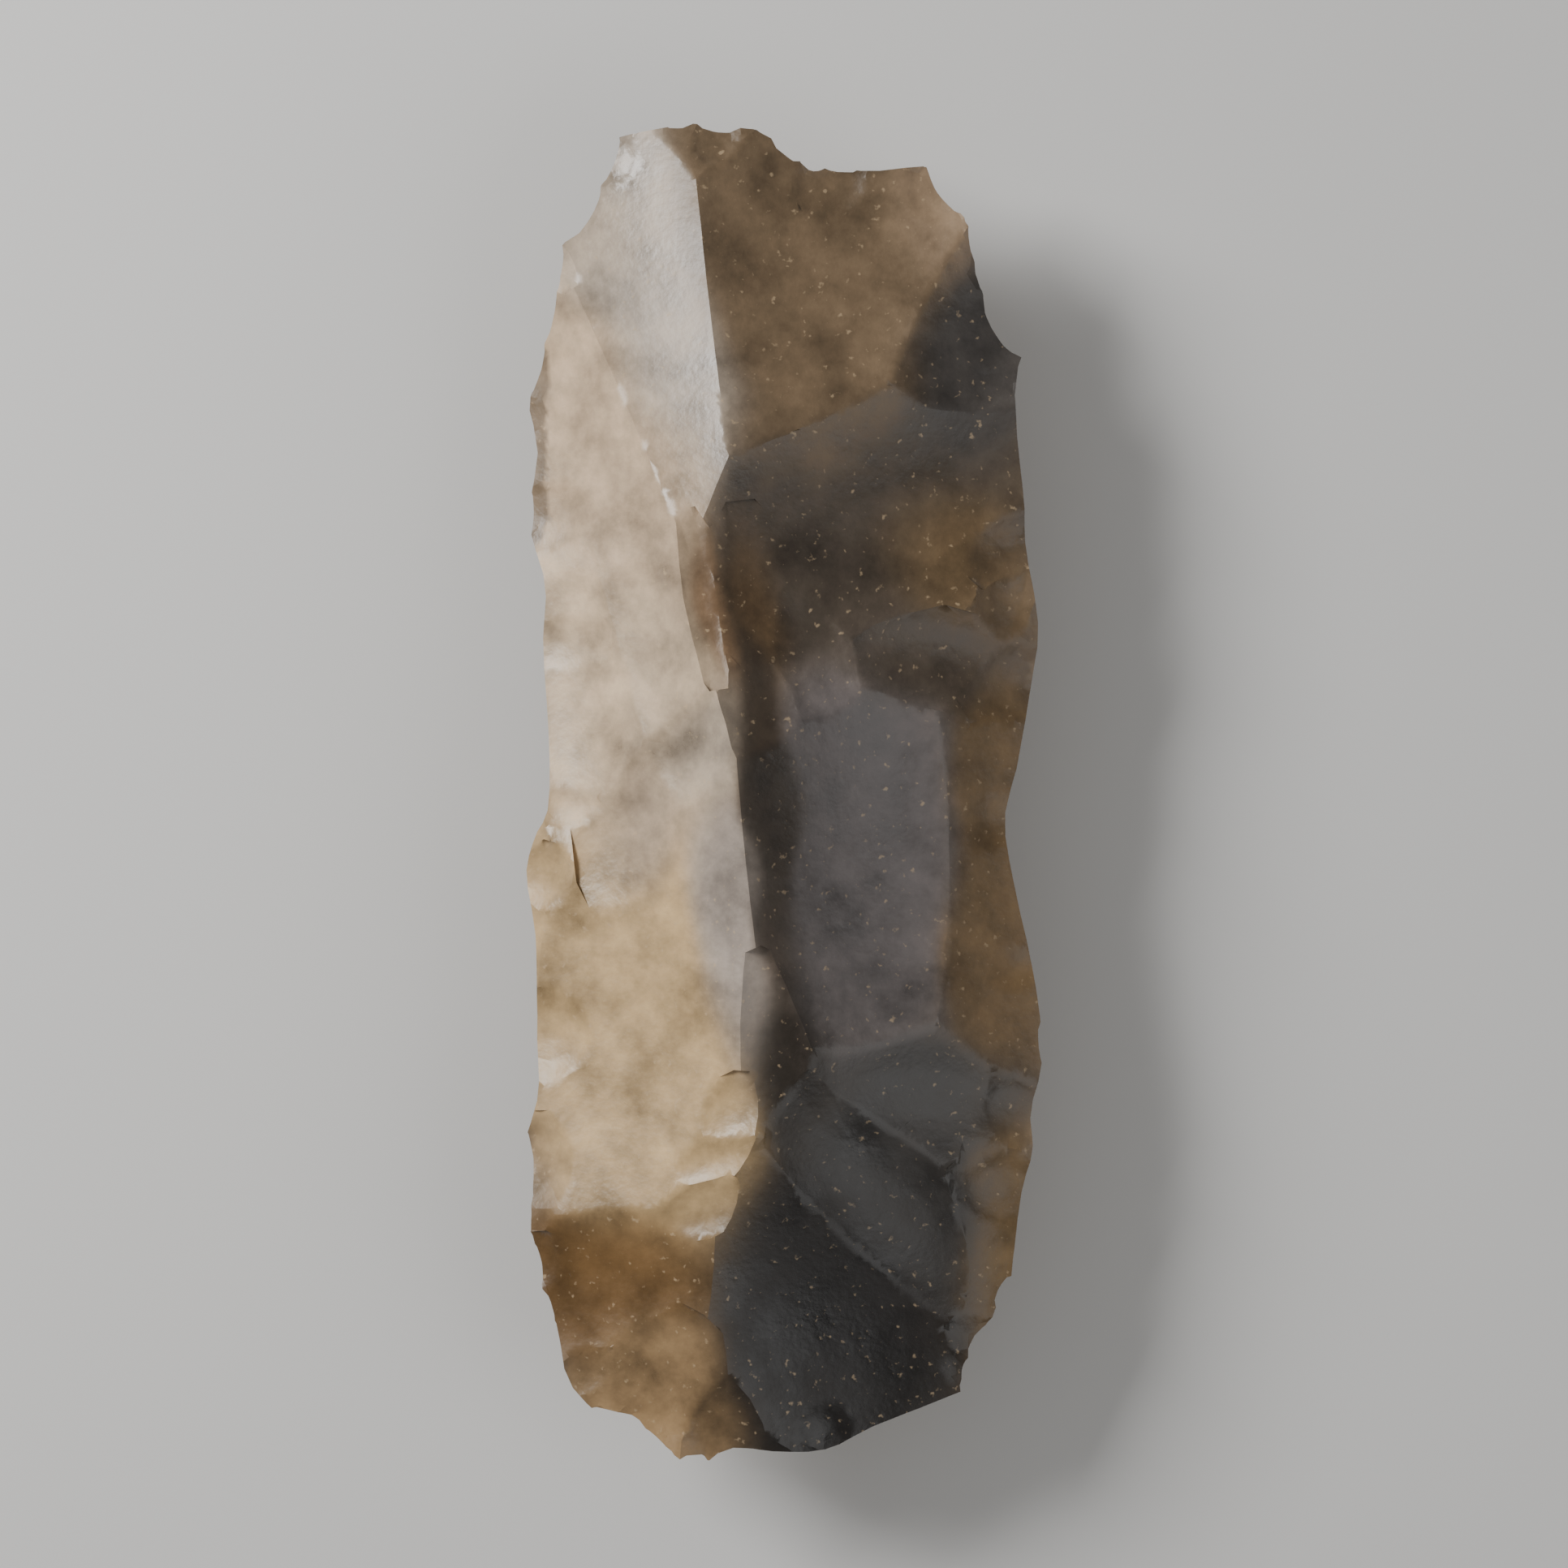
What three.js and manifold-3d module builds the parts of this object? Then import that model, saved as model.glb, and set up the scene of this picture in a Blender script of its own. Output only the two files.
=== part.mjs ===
// A flaked flint axe head, one piece of knapped stone.
// It lies on its flatter face: X runs across, Y along towards the cutting edge, Z up, in millimetres.
// The stone is made as a knapper makes it. A long blank with a crest along its upper face is roughed out,
// and then flake after flake is struck off both faces, each leaving a dished scar. Where two scars meet
// they leave a ridge, and where the scars of both faces meet they leave the sharp, sinuous edge.
import * as THREE from 'three';
import { mergeVertices } from 'three/addons/utils/BufferGeometryUtils.js';
import Module from 'manifold-3d';

const wasm = await Module();
wasm.setup();

// Overall sizes
const LENGTH = 164.3;
const WIDTH = 63.5;

// The edge that runs round the stone
const EDGE_HEIGHT = 16.5;
const EDGE_WALL = 2.4;

// The flatter face, which carries the rest flat
const REST_SHARE = 0.34;
const KEEL_ROUNDNESS = 1.15;

// The roof-shaped upper face, which falls from the crest to the edge
const ROOF_ROUNDNESS = 1.25;
const ROOF_REACH = { left: 29.5, right: 31 };

// The dished tool that stands for a flake
const RIM_OVERRUN = 1.3;
const TOOL_REACH = 70;
const FACET = 4;

// The small chips along the edge
const CHIP = { length: 9, width: 8, depth: 0.8, inset: 2.2, variation: 0.3, rhythm: 2.4 };

// The outline seen from above, as [across, along], from the cutting edge's left corner round by the butt
const outline = [
  [-21.5, 79.9], [-26.2, 72.9], [-28.6, 65.5], [-30.2, 60], [-30.5, 52], [-28.5, 42.5], [-29.5, 34],
  [-27.5, 26], [-27.8, 18.8], [-27.1, 8], [-27.1, -1], [-28.8, -4.8], [-29.8, -9.5], [-28.6, -17],
  [-28.5, -29], [-28.3, -36], [-30.5, -43.5], [-31.8, -50.8], [-30.6, -57.6], [-26.4, -63.5],
  [-24.8, -70.9], [-20.3, -76], [-17.2, -79.8], [-10.6, -82.1], [-5.8, -79.2], [0.5, -79.5],
  [6.2, -79.2], [11.5, -76.6], [23.3, -71.8], [27.2, -70], [28, -66.5], [27.8, -59.5], [29.1, -48.4],
  [30.4, -43], [30.2, -38.1], [31.7, -31], [30.4, -20.5], [28.5, -11.7], [27.1, -3], [28.7, 4.5],
  [30.3, 13.5], [31.1, 21], [29.6, 30.5], [29.4, 36.5], [28.3, 50], [30.3, 57.8], [28.8, 64.8],
  [26, 70], [20.8, 76.7], [12, 76.4], [7, 77], [2.8, 79.6], [-7.1, 82.2], [-14, 81.4],
];

// The crest of the upper face, as [across, along, height], from the cutting edge to the butt
const crest = [
  [-13, 84, 19], [-13.5, 72, 25], [-12.5, 58, 30], [-8.5, 42, 34], [-7, 20, 36.5], [-5.5, 0, 38],
  [-2.5, -22, 38], [-6, -40, 36.5], [-8.5, -58, 32], [-10, -88, 16],
];

// Flakes struck off the upper face. `at` is the middle of the scar and `heading` the way the flake ran.
const upperFlakes = [
  { name: 'golden left side', at: [-14.5, -25], heading: -80, size: [62, 34], depth: 2.4 },
  { name: 'long grey trough', at: [10, -8], heading: -90, size: [56, 30], depth: 3.4 },
  { name: 'right flank', at: [27.5, -6], heading: -90, size: [56, 19], depth: 1.3 },
  { name: 'broad top face', at: [4, 63], heading: -90, size: [62, 38], depth: 2.8 },
  { name: 'left shoulder facet', at: [-18, 64], heading: -72, size: [56, 22], depth: 1.6 },
  { name: 'left upper side', at: [-24, 36], heading: -65, size: [54, 26], depth: 1.9 },
  { name: 'right shoulder hollow', at: [24, 56], heading: 246, size: [34, 19], depth: 2.2 },
  { name: 'rippled right side', at: [10, 31], heading: 197, size: [46, 28], depth: 2.2 },
  { name: 'trough head', at: [-2, 12], heading: -80, size: [16, 10], depth: 0.9 },
  { name: 'end of the ripples', at: [4, 18], heading: -68, size: [20, 8], depth: 0.8 },
  { name: 'right edge lens', at: [19, 17], heading: 170, size: [23, 10], depth: 1.2 },
  { name: 'right edge facet', at: [27.5, 25], heading: -100, size: [15, 6], depth: 0.8 },
  { name: 'mottled left flake', at: [-16.5, 16], heading: -79, size: [34, 12], depth: 1.2 },
  { name: 'outer left flake', at: [-23.3, 10], heading: -83, size: [41, 12], depth: 1.5 },
  { name: 'rippled tongue', at: [-17.3, -4], heading: -92, size: [20, 11], depth: 1 },
  { name: 'bright crest facet', at: [-10, 6], heading: -100, size: [13, 9], depth: 0.8 },
  { name: 'crest lens', at: [-3, 25.5], heading: -83, size: [17, 8.5], depth: 0.7 },
  { name: 'hackled strip', at: [-8.7, 24], heading: -80, size: [18, 5.5], depth: 0.6 },
  { name: 'dark wedge', at: [0.5, -35], heading: -80, size: [27, 11], depth: 1.2 },
  { name: 'folded step', at: [16, -39], heading: -90, size: [18, 32], depth: 1.6 },
  { name: 'dark butt face', at: [8, -65], heading: 110, size: [46, 36], depth: 2.4 },
  { name: 'ringed hollow', at: [14.5, -50], heading: 130, size: [32, 18], depth: 2 },
  { name: 'right heel', at: [26, -57], heading: -90, size: [32, 9], depth: 0.8 },
  { name: 'left butt facet', at: [-20, -62], heading: -80, size: [22, 28], depth: 1.6 },
  { name: 'grained butt corner', at: [-17, -74], heading: 80, size: [22, 22], depth: 1.2 },
  { name: 'first hinge tongue', at: [-5.6, -38], heading: -140, size: [10, 7], depth: 0.7 },
  { name: 'second hinge tongue', at: [-7.8, -44], heading: -160, size: [11, 5], depth: 0.6 },
  { name: 'third hinge tongue', at: [-9, -49.5], heading: -160, size: [11, 6], depth: 0.6 },
];

// Flakes struck off the flatter face
const lowerFlakes = [
  { name: 'lower left front', at: [-20, 62], heading: 10, size: [34, 36], depth: 1.6 },
  { name: 'lower right front', at: [20, 60], heading: 185, size: [34, 38], depth: 1.6 },
  { name: 'lower left middle', at: [-22, 26], heading: -10, size: [32, 40], depth: 1.8 },
  { name: 'lower right middle', at: [22, 20], heading: 170, size: [30, 44], depth: 1.8 },
  { name: 'lower left waist', at: [-22, -10], heading: 5, size: [30, 38], depth: 1.8 },
  { name: 'lower right waist', at: [23, -22], heading: 190, size: [30, 42], depth: 1.8 },
  { name: 'lower left heel', at: [-21, -46], heading: 15, size: [32, 40], depth: 1.6 },
  { name: 'lower right heel', at: [18, -58], heading: 160, size: [32, 34], depth: 1.6 },
  { name: 'lower butt', at: [-6, -74], heading: 90, size: [26, 40], depth: 1.4 },
  { name: 'lower front trim', at: [0, 76], heading: -90, size: [24, 44], depth: 1.4 },
];

// A closed mesh as a solid, and back again.
function solidOf(geometry) {
  const bare = geometry.index ? geometry.toNonIndexed() : geometry.clone();
  bare.deleteAttribute('normal');
  bare.deleteAttribute('uv');
  const merged = mergeVertices(bare, 1e-4);
  return new wasm.Manifold(new wasm.Mesh({
    numProp: 3,
    vertProperties: merged.attributes.position.array,
    triVerts: new Uint32Array(merged.index.array),
  }));
}

function geometryOf(solid) {
  const { vertProperties, triVerts } = solid.getMesh();
  const geometry = new THREE.BufferGeometry();
  geometry.setAttribute('position', new THREE.BufferAttribute(vertProperties, 3));
  geometry.setIndex(new THREE.BufferAttribute(triVerts, 1));
  const faceted = geometry.toNonIndexed();
  faceted.computeVertexNormals();
  return faceted;
}

// The points are stretched to the overall sizes, so that the stone keeps its form when they change.
const drawn = new THREE.Box2().setFromPoints(outline.map(([x, y]) => new THREE.Vector2(x, y)));
const stretch = { x: WIDTH / (drawn.max.x - drawn.min.x), y: LENGTH / (drawn.max.y - drawn.min.y) };
const place = ([x, y]) => new THREE.Vector2(x * stretch.x, y * stretch.y);

// Heights of the blank's two faces at a place on the plan
function crestAt(y) {
  const i = Math.max(1, crest.findIndex((point, k) => k > 0 && point[1] * stretch.y <= y));
  const [from, to] = [crest[i - 1], crest[i]];
  const share = THREE.MathUtils.clamp((from[1] * stretch.y - y) / ((from[1] - to[1]) * stretch.y), 0, 1);
  return {
    x: THREE.MathUtils.lerp(from[0], to[0], share) * stretch.x,
    z: THREE.MathUtils.lerp(from[2], to[2], share),
  };
}

function roof(x, y) {
  const top = crestAt(y);
  const edge = x < top.x ? -ROOF_REACH.left * stretch.x : ROOF_REACH.right * stretch.x;
  const fall = Math.pow((x - top.x) / (edge - top.x), ROOF_ROUNDNESS);
  return THREE.MathUtils.lerp(top.z, EDGE_HEIGHT + EDGE_WALL / 2, fall);
}

function keel(x, y) {
  const out = Math.hypot(2 * x / WIDTH, Math.pow(2 * y / LENGTH, 2));
  const rise = Math.max(0, (out - REST_SHARE) / (1 - REST_SHARE));
  return (EDGE_HEIGHT - EDGE_WALL / 2) * Math.pow(rise, KEEL_ROUNDNESS);
}

// The blank: a bar with a roof-shaped top and a keeled underside, trimmed to the outline
function blank() {
  const margin = 4;
  const bar = new THREE.BoxGeometry(WIDTH + margin, LENGTH + margin, 1, 20, 48, 1);
  const spot = bar.attributes.position;
  for (let i = 0; i < spot.count; i++) {
    const [x, y] = [spot.getX(i), spot.getY(i)];
    spot.setZ(i, spot.getZ(i) > 0 ? Math.max(roof(x, y), keel(x, y) + 1) : keel(x, y));
  }
  const shape = new THREE.Shape(new THREE.SplineCurve([...outline, outline[0]].map(place)).getPoints(150));
  const cutter = new THREE.ExtrudeGeometry(shape, { depth: TOOL_REACH, bevelEnabled: false });
  cutter.translate(0, 0, -TOOL_REACH / 4);
  return solidOf(bar).intersect(solidOf(cutter));
}

// Where a flake lies: its plan, and the plane that its rim rests on, with slopes along and across the heading
function seat({ at, heading, size: [length, width], depth }, surface) {
  const middle = place(at);
  const turn = THREE.MathUtils.degToRad(heading);
  const [along, across] = [length / 2, width / 2];
  const spokes = 16;
  const plane = { height: 0, along: 0, across: 0 };
  for (let k = 0; k < spokes; k++) {
    const angle = 2 * Math.PI * k / spokes;
    const spoke = new THREE.Vector2(along * Math.cos(angle), across * Math.sin(angle));
    const rim = spoke.clone().rotateAround(new THREE.Vector2(), turn).add(middle);
    const height = surface(rim.x, rim.y);
    plane.height += height / spokes;
    plane.along += 2 * height * Math.cos(angle) / (spokes * along);
    plane.across += 2 * height * Math.sin(angle) / (spokes * across);
  }
  return { middle, turn, along, across, depth, plane };
}

// Height of a scar at a place on the plan, and a height clear of the stone outside its rim
function scarHeight({ middle, turn, along, across, depth, plane }, x, y, up) {
  const away = new THREE.Vector2(x, y).sub(middle).rotateAround(new THREE.Vector2(), -turn);
  const reach = Math.hypot(away.x / along, away.y / across);
  const side = up ? 1 : -1;
  if (reach > RIM_OVERRUN) return side * TOOL_REACH;
  return plane.height + plane.along * away.x + plane.across * away.y + side * depth * (reach * reach - 1);
}

// A flake as a solid to take away: a shallow dish with its rim on the stone's face
function flakeTool({ middle, turn, along, across, depth, plane }, up) {
  const rings = Math.max(2, Math.round(along / FACET));
  const profile = [];
  for (let k = 0; k <= rings; k++) {
    const r = RIM_OVERRUN * k / rings;
    profile.push(new THREE.Vector2(r, depth * (r * r - 1)));
  }
  profile.push(new THREE.Vector2(RIM_OVERRUN, TOOL_REACH), new THREE.Vector2(0, TOOL_REACH));
  const segments = Math.max(10, Math.round(Math.PI * (along + across) / FACET));
  const dish = new THREE.LatheGeometry(profile, segments);
  dish.rotateX(up ? Math.PI / 2 : -Math.PI / 2);
  dish.scale(along, across, 1);
  dish.applyMatrix4(new THREE.Matrix4().makeShear(0, plane.along, 0, plane.across, 0, 0));
  dish.rotateZ(turn);
  dish.translate(middle.x, middle.y, plane.height);
  return solidOf(dish);
}

// Flakes come off one after another, and each is seated on the face that the earlier ones left.
function knap(stone, flakes, blankFace, up) {
  const faces = [blankFace];
  const nearest = up ? Math.min : Math.max;
  const surface = (x, y) => nearest(...faces.map((face) => face(x, y)));
  for (const flake of flakes) {
    const scar = seat(flake, surface);
    faces.push((x, y) => scarHeight(scar, x, y, up));
    stone = stone.subtract(flakeTool(scar, up));
  }
  return stone;
}

// Small chips nibbled off all round the edge, from the upper and the lower face in turn
function edgeChips(up) {
  const chips = [];
  for (let k = up ? 0 : 1; k < outline.length; k += 2) {
    const [x, y] = outline[k];
    const [before, after] = [outline.at(k - 1), outline[(k + 1) % outline.length]];
    const inward = Math.atan2(after[0] - before[0], before[1] - after[1]);
    const share = 1 + CHIP.variation * Math.sin(CHIP.rhythm * k);
    chips.push({
      at: [x + CHIP.inset * Math.cos(inward), y + CHIP.inset * Math.sin(inward)],
      heading: THREE.MathUtils.radToDeg(inward),
      size: [CHIP.length * share, CHIP.width * share],
      depth: CHIP.depth * share,
    });
  }
  return chips;
}

let stone = knap(blank(), [...upperFlakes, ...edgeChips(true)], roof, true);
stone = knap(stone, [...lowerFlakes, ...edgeChips(false)], keel, false);

const flint = new THREE.MeshStandardMaterial({ color: 0x7a5f42, roughness: 0.45, metalness: 0 });
const flaked = geometryOf(stone);

// The flaked stone is brought to its overall sizes, and the origin is put in the middle of its underside.
const rough = new THREE.Box3().setFromBufferAttribute(flaked.attributes.position);
const [middle, span] = [rough.getCenter(new THREE.Vector3()), rough.getSize(new THREE.Vector3())];
flaked.translate(-middle.x, -middle.y, -rough.min.z);
flaked.scale(WIDTH / span.x, LENGTH / span.y, 1);

const axeHead = new THREE.Mesh(flaked, flint);
axeHead.name = 'axe_head';

const part = new THREE.Group();
part.add(axeHead);

export default part;
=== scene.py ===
import math

import bmesh
import bpy
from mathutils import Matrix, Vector, noise


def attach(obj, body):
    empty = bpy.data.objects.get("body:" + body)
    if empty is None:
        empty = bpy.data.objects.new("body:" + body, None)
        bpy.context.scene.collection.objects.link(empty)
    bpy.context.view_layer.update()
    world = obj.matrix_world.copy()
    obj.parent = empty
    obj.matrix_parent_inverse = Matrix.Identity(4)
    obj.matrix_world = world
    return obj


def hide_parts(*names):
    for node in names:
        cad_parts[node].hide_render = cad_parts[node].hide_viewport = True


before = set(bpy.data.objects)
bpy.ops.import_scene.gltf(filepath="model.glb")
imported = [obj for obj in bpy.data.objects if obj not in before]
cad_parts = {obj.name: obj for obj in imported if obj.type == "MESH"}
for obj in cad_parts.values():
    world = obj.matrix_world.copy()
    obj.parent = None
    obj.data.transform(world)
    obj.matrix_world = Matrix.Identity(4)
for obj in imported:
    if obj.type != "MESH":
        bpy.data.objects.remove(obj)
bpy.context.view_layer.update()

# The stone
# One piece of flint, knapped to an axe head. Every face is a flake scar: a shallow dish with smooth,
# slightly waved stone in it, and a sharp ridge where it meets the next scar.
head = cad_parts["axe_head"]
stone_mesh = bpy.data.meshes.new("flint_axe")
shell = bmesh.new()
shell.from_mesh(head.data)
bmesh.ops.remove_doubles(shell, verts=shell.verts, dist=1e-6)
bmesh.ops.recalc_face_normals(shell, faces=shell.faces)
ridge_angle = math.radians(13)
finest_edge = 0.0014
most_faces = 60000
rounds = 3
for _ in range(rounds):
    long_edges = [edge for edge in shell.edges if edge.calc_length() > finest_edge]
    if not long_edges or len(shell.faces) > most_faces:
        break
    bmesh.ops.subdivide_edges(shell, edges=long_edges, cuts=1, use_grid_fill=False)
    bmesh.ops.triangulate(shell, faces=[face for face in shell.faces if len(face.verts) > 3])

# Broken flint is never quite flat: it has low swells a few millimetres across, with fine waves on them.
swell_size = 0.009
swell_height = 0.00012
wave_size = 0.0022
wave_height = 0.00003
shell.normal_update()
for vert in shell.verts:
    swell = noise.noise(vert.co / swell_size) * swell_height
    wave = noise.noise(vert.co / wave_size) * wave_height
    vert.co += vert.normal * (swell + wave)
shell.to_mesh(stone_mesh)
shell.free()
stone_mesh.shade_smooth()
stone_mesh.set_sharp_from_angle(angle=ridge_angle)
stone = bpy.data.objects.new("flint_axe", stone_mesh)
bpy.context.scene.collection.objects.link(stone)

# The flint's colour changes from scar to scar, from cream and gold on the left to grey, brown and near
# black on the right and at the butt. These colours are partly the flint's own and partly painted light:
# the scars facing the upper left are painted paler, as if lit, and those facing right and down carry
# painted shade. Each patch has its middle, its length and width in millimetres, the way it runs in
# degrees, and its colour.
tone_and_light_patches = [
    ("left shoulder facet", (-17, 62), (46, 15), -72, (0.40, 0.33, 0.26)),
    ("left upper side", (-22, 40), (44, 22), -72, (0.47, 0.34, 0.22)),
    ("left front corner", (-20, 70), (20, 14), -60, (0.45, 0.35, 0.25)),
    ("broad top face", (3, 62), (46, 30), -90, (0.15, 0.10, 0.055)),
    ("right front corner", (20, 72), (16, 14), -60, (0.22, 0.15, 0.09)),
    ("right shoulder hollow", (24, 55), (32, 16), 246, (0.050, 0.043, 0.038)),
    ("rippled right side", (8, 32), (38, 24), 197, (0.062, 0.046, 0.032)),
    ("tan patch in the ripples", (19, 31), (15, 17), -90, (0.16, 0.10, 0.045)),
    ("right edge lens", (19, 16), (22, 10), 170, (0.085, 0.062, 0.042)),
    ("outer left flake", (-23, 10), (42, 12), -83, (0.50, 0.37, 0.24)),
    ("mottled left flake", (-16, 14), (34, 11), -79, (0.44, 0.33, 0.22)),
    ("rippled tongue", (-17, -4), (20, 11), -92, (0.36, 0.27, 0.19)),
    ("bright crest facet", (-10, 6), (13, 9), -100, (0.34, 0.27, 0.20)),
    ("crest lens", (-3, 25), (17, 8), -83, (0.12, 0.070, 0.030)),
    ("hackled strip", (-8.7, 24), (18, 5), -80, (0.17, 0.10, 0.05)),
    ("golden left side", (-18, -28), (54, 24), -84, (0.46, 0.31, 0.15)),
    ("pale band by the crest", (-6, -18), (30, 8), -84, (0.30, 0.25, 0.21)),
    ("grey trough", (10, -8), (48, 20), -90, (0.125, 0.108, 0.104)),
    ("dark side of the trough", (-2, -2), (44, 6), -84, (0.045, 0.030, 0.018)),
    ("right flank", (26, -8), (50, 12), -90, (0.17, 0.105, 0.045)),
    ("folded step", (16, -38), (14, 24), -90, (0.050, 0.045, 0.041)),
    ("ringed hollow", (14.5, -50), (30, 15), 130, (0.030, 0.026, 0.023)),
    ("black butt face", (6, -66), (40, 30), 110, (0.011, 0.009, 0.008)),
    ("dark wedge", (0.5, -36), (24, 9), -80, (0.024, 0.017, 0.011)),
    ("right heel", (26, -57), (30, 9), -90, (0.15, 0.095, 0.042)),
    ("left butt facet", (-21, -59), (16, 22), -80, (0.12, 0.062, 0.018)),
    ("grained butt corner", (-16, -74), (18, 18), 80, (0.27, 0.17, 0.08)),
]
underside = (0.20, 0.14, 0.085)
patch_sharpness = 3.2
background_share = 0.004
edge_height = 0.0165
tone_and_painted_light = stone_mesh.color_attributes.new("tone_and_painted_light", "FLOAT_COLOR", "POINT")
wander = 0.0025
wander_size = 0.011
wander_seed = 1
noise.seed_set(wander_seed)
millimetres = 1000
for index, vert in enumerate(stone_mesh.vertices):
    shift = noise.noise_vector(vert.co / wander_size) * wander
    across = (vert.co.x + shift.x) * millimetres
    along = (vert.co.y + shift.y) * millimetres
    total = background_share
    colour = Vector(underside) * total
    # Top vertices blend the patch colours by nearness: the flint's own colour together with painted light
    # on the left-facing scars and painted shade on the right-facing ones.
    if vert.co.z > edge_height:
        for _, middle, (length, width), heading, shade in tone_and_light_patches:
            turn = math.radians(heading)
            out = across - middle[0], along - middle[1]
            forward = out[0] * math.cos(turn) + out[1] * math.sin(turn)
            sideways = out[1] * math.cos(turn) - out[0] * math.sin(turn)
            reach = (2 * forward / length) ** 2 + (2 * sideways / width) ** 2
            weight = math.exp(-patch_sharpness * reach)
            total += weight
            colour += Vector(shade) * weight
    colour /= total
    tone_and_painted_light.data[index].color = (colour.x, colour.y, colour.z, 1)

# The flint itself: glossy, clouded with paler and darker stone, and speckled with small cream and dark
# spots.
flint = bpy.data.materials.new("flint")
flint.use_nodes = True
nodes = flint.node_tree.nodes
links = flint.node_tree.links
surface = nodes["Principled BSDF"]
place = nodes.new("ShaderNodeTexCoord")
# This colour holds painted light and painted shade as well as the flint's own colour.
patch_colour = nodes.new("ShaderNodeVertexColor")
patch_colour.layer_name = "tone_and_painted_light"
clouds = nodes.new("ShaderNodeTexNoise")
clouds.inputs["Scale"].default_value = 130
clouds.inputs["Detail"].default_value = 8
clouds.inputs["Roughness"].default_value = 0.62
links.new(place.outputs["Object"], clouds.inputs["Vector"])
cloud_strength = nodes.new("ShaderNodeMapRange")
cloud_strength.inputs["From Min"].default_value = 0.3
cloud_strength.inputs["From Max"].default_value = 0.7
cloud_strength.inputs["To Min"].default_value = 0.55
cloud_strength.inputs["To Max"].default_value = 1.5
links.new(clouds.outputs["Fac"], cloud_strength.inputs["Value"])
clouded = nodes.new("ShaderNodeVectorMath")
clouded.operation = "SCALE"
links.new(patch_colour.outputs["Color"], clouded.inputs[0])
links.new(cloud_strength.outputs["Result"], clouded.inputs["Scale"])
specks = nodes.new("ShaderNodeTexNoise")
specks.inputs["Scale"].default_value = 1100
specks.inputs["Detail"].default_value = 2
links.new(place.outputs["Object"], specks.inputs["Vector"])
speck_share = nodes.new("ShaderNodeMapRange")
speck_share.inputs["From Min"].default_value = 0.66
speck_share.inputs["From Max"].default_value = 0.76
speck_share.inputs["To Max"].default_value = 0.5
links.new(specks.outputs["Fac"], speck_share.inputs["Value"])
# A colour mix takes its share, its first colour and its second at sockets 0, 6 and 7, and gives socket 2.
speckled = nodes.new("ShaderNodeMix")
speckled.data_type = "RGBA"
speckled.inputs[7].default_value = (0.55, 0.40, 0.24, 1)
links.new(speck_share.outputs["Result"], speckled.inputs[0])
links.new(clouded.outputs["Vector"], speckled.inputs[6])
links.new(speckled.outputs[2], surface.inputs["Base Color"])
gloss = nodes.new("ShaderNodeMapRange")
gloss.inputs["From Min"].default_value = 0.3
gloss.inputs["From Max"].default_value = 0.7
gloss.inputs["To Min"].default_value = 0.26
gloss.inputs["To Max"].default_value = 0.5
links.new(clouds.outputs["Fac"], gloss.inputs["Value"])
links.new(gloss.outputs["Result"], surface.inputs["Roughness"])
surface.inputs["IOR"].default_value = 1.54
grain = nodes.new("ShaderNodeBump")
grain.inputs["Strength"].default_value = 0.25
grain.inputs["Distance"].default_value = 0.0002
links.new(specks.outputs["Fac"], grain.inputs["Height"])
links.new(grain.outputs["Normal"], surface.inputs["Normal"])
stone_mesh.materials.append(flint)
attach(stone, "root")
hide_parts("axe_head")

# The floor
# A pale, plain sheet under the stone, wide enough to fill the picture from every side.
floor_mesh = bpy.data.meshes.new("floor")
sheet = bmesh.new()
bmesh.ops.create_grid(sheet, x_segments=1, y_segments=1, size=2.0)
sheet.to_mesh(floor_mesh)
sheet.free()
floor = bpy.data.objects.new("floor", floor_mesh)
bpy.context.scene.collection.objects.link(floor)
paper = bpy.data.materials.new("pale_floor")
paper.use_nodes = True
paper.node_tree.nodes["Principled BSDF"].inputs["Base Color"].default_value = (0.72, 0.71, 0.69, 1)
paper.node_tree.nodes["Principled BSDF"].inputs["Roughness"].default_value = 0.9
floor_mesh.materials.append(paper)

# The light
# A soft key light from the upper left rakes across the scars, with a weak fill from the right.
world = bpy.data.worlds.new("studio")
world.use_nodes = True
world.node_tree.nodes["Background"].inputs["Color"].default_value = (1, 1, 1, 1)
world.node_tree.nodes["Background"].inputs["Strength"].default_value = 0.24
bpy.context.scene.world = world
lamps = [
    ("key", (-0.55, 0.30, 0.42), 6.5, 0.30),
    ("fill", (0.6, -0.3, 0.6), 1.5, 0.6),
]
for name, spot, power, size in lamps:
    lamp = bpy.data.lights.new(name, "AREA")
    lamp.energy = power
    lamp.size = size
    light = bpy.data.objects.new(name, lamp)
    light.location = spot
    light.rotation_euler = (-Vector(spot)).to_track_quat("-Z", "Y").to_euler()
    bpy.context.scene.collection.objects.link(light)

# The camera
# It looks straight down, as in the photograph, from a little over a metre.
lens = bpy.data.cameras.new("camera")
lens.lens = 200
lens.sensor_width = 36
camera = bpy.data.objects.new("camera", lens)
camera.location = (0, 0.001, 1.09)
bpy.context.scene.collection.objects.link(camera)
bpy.context.scene.camera = camera
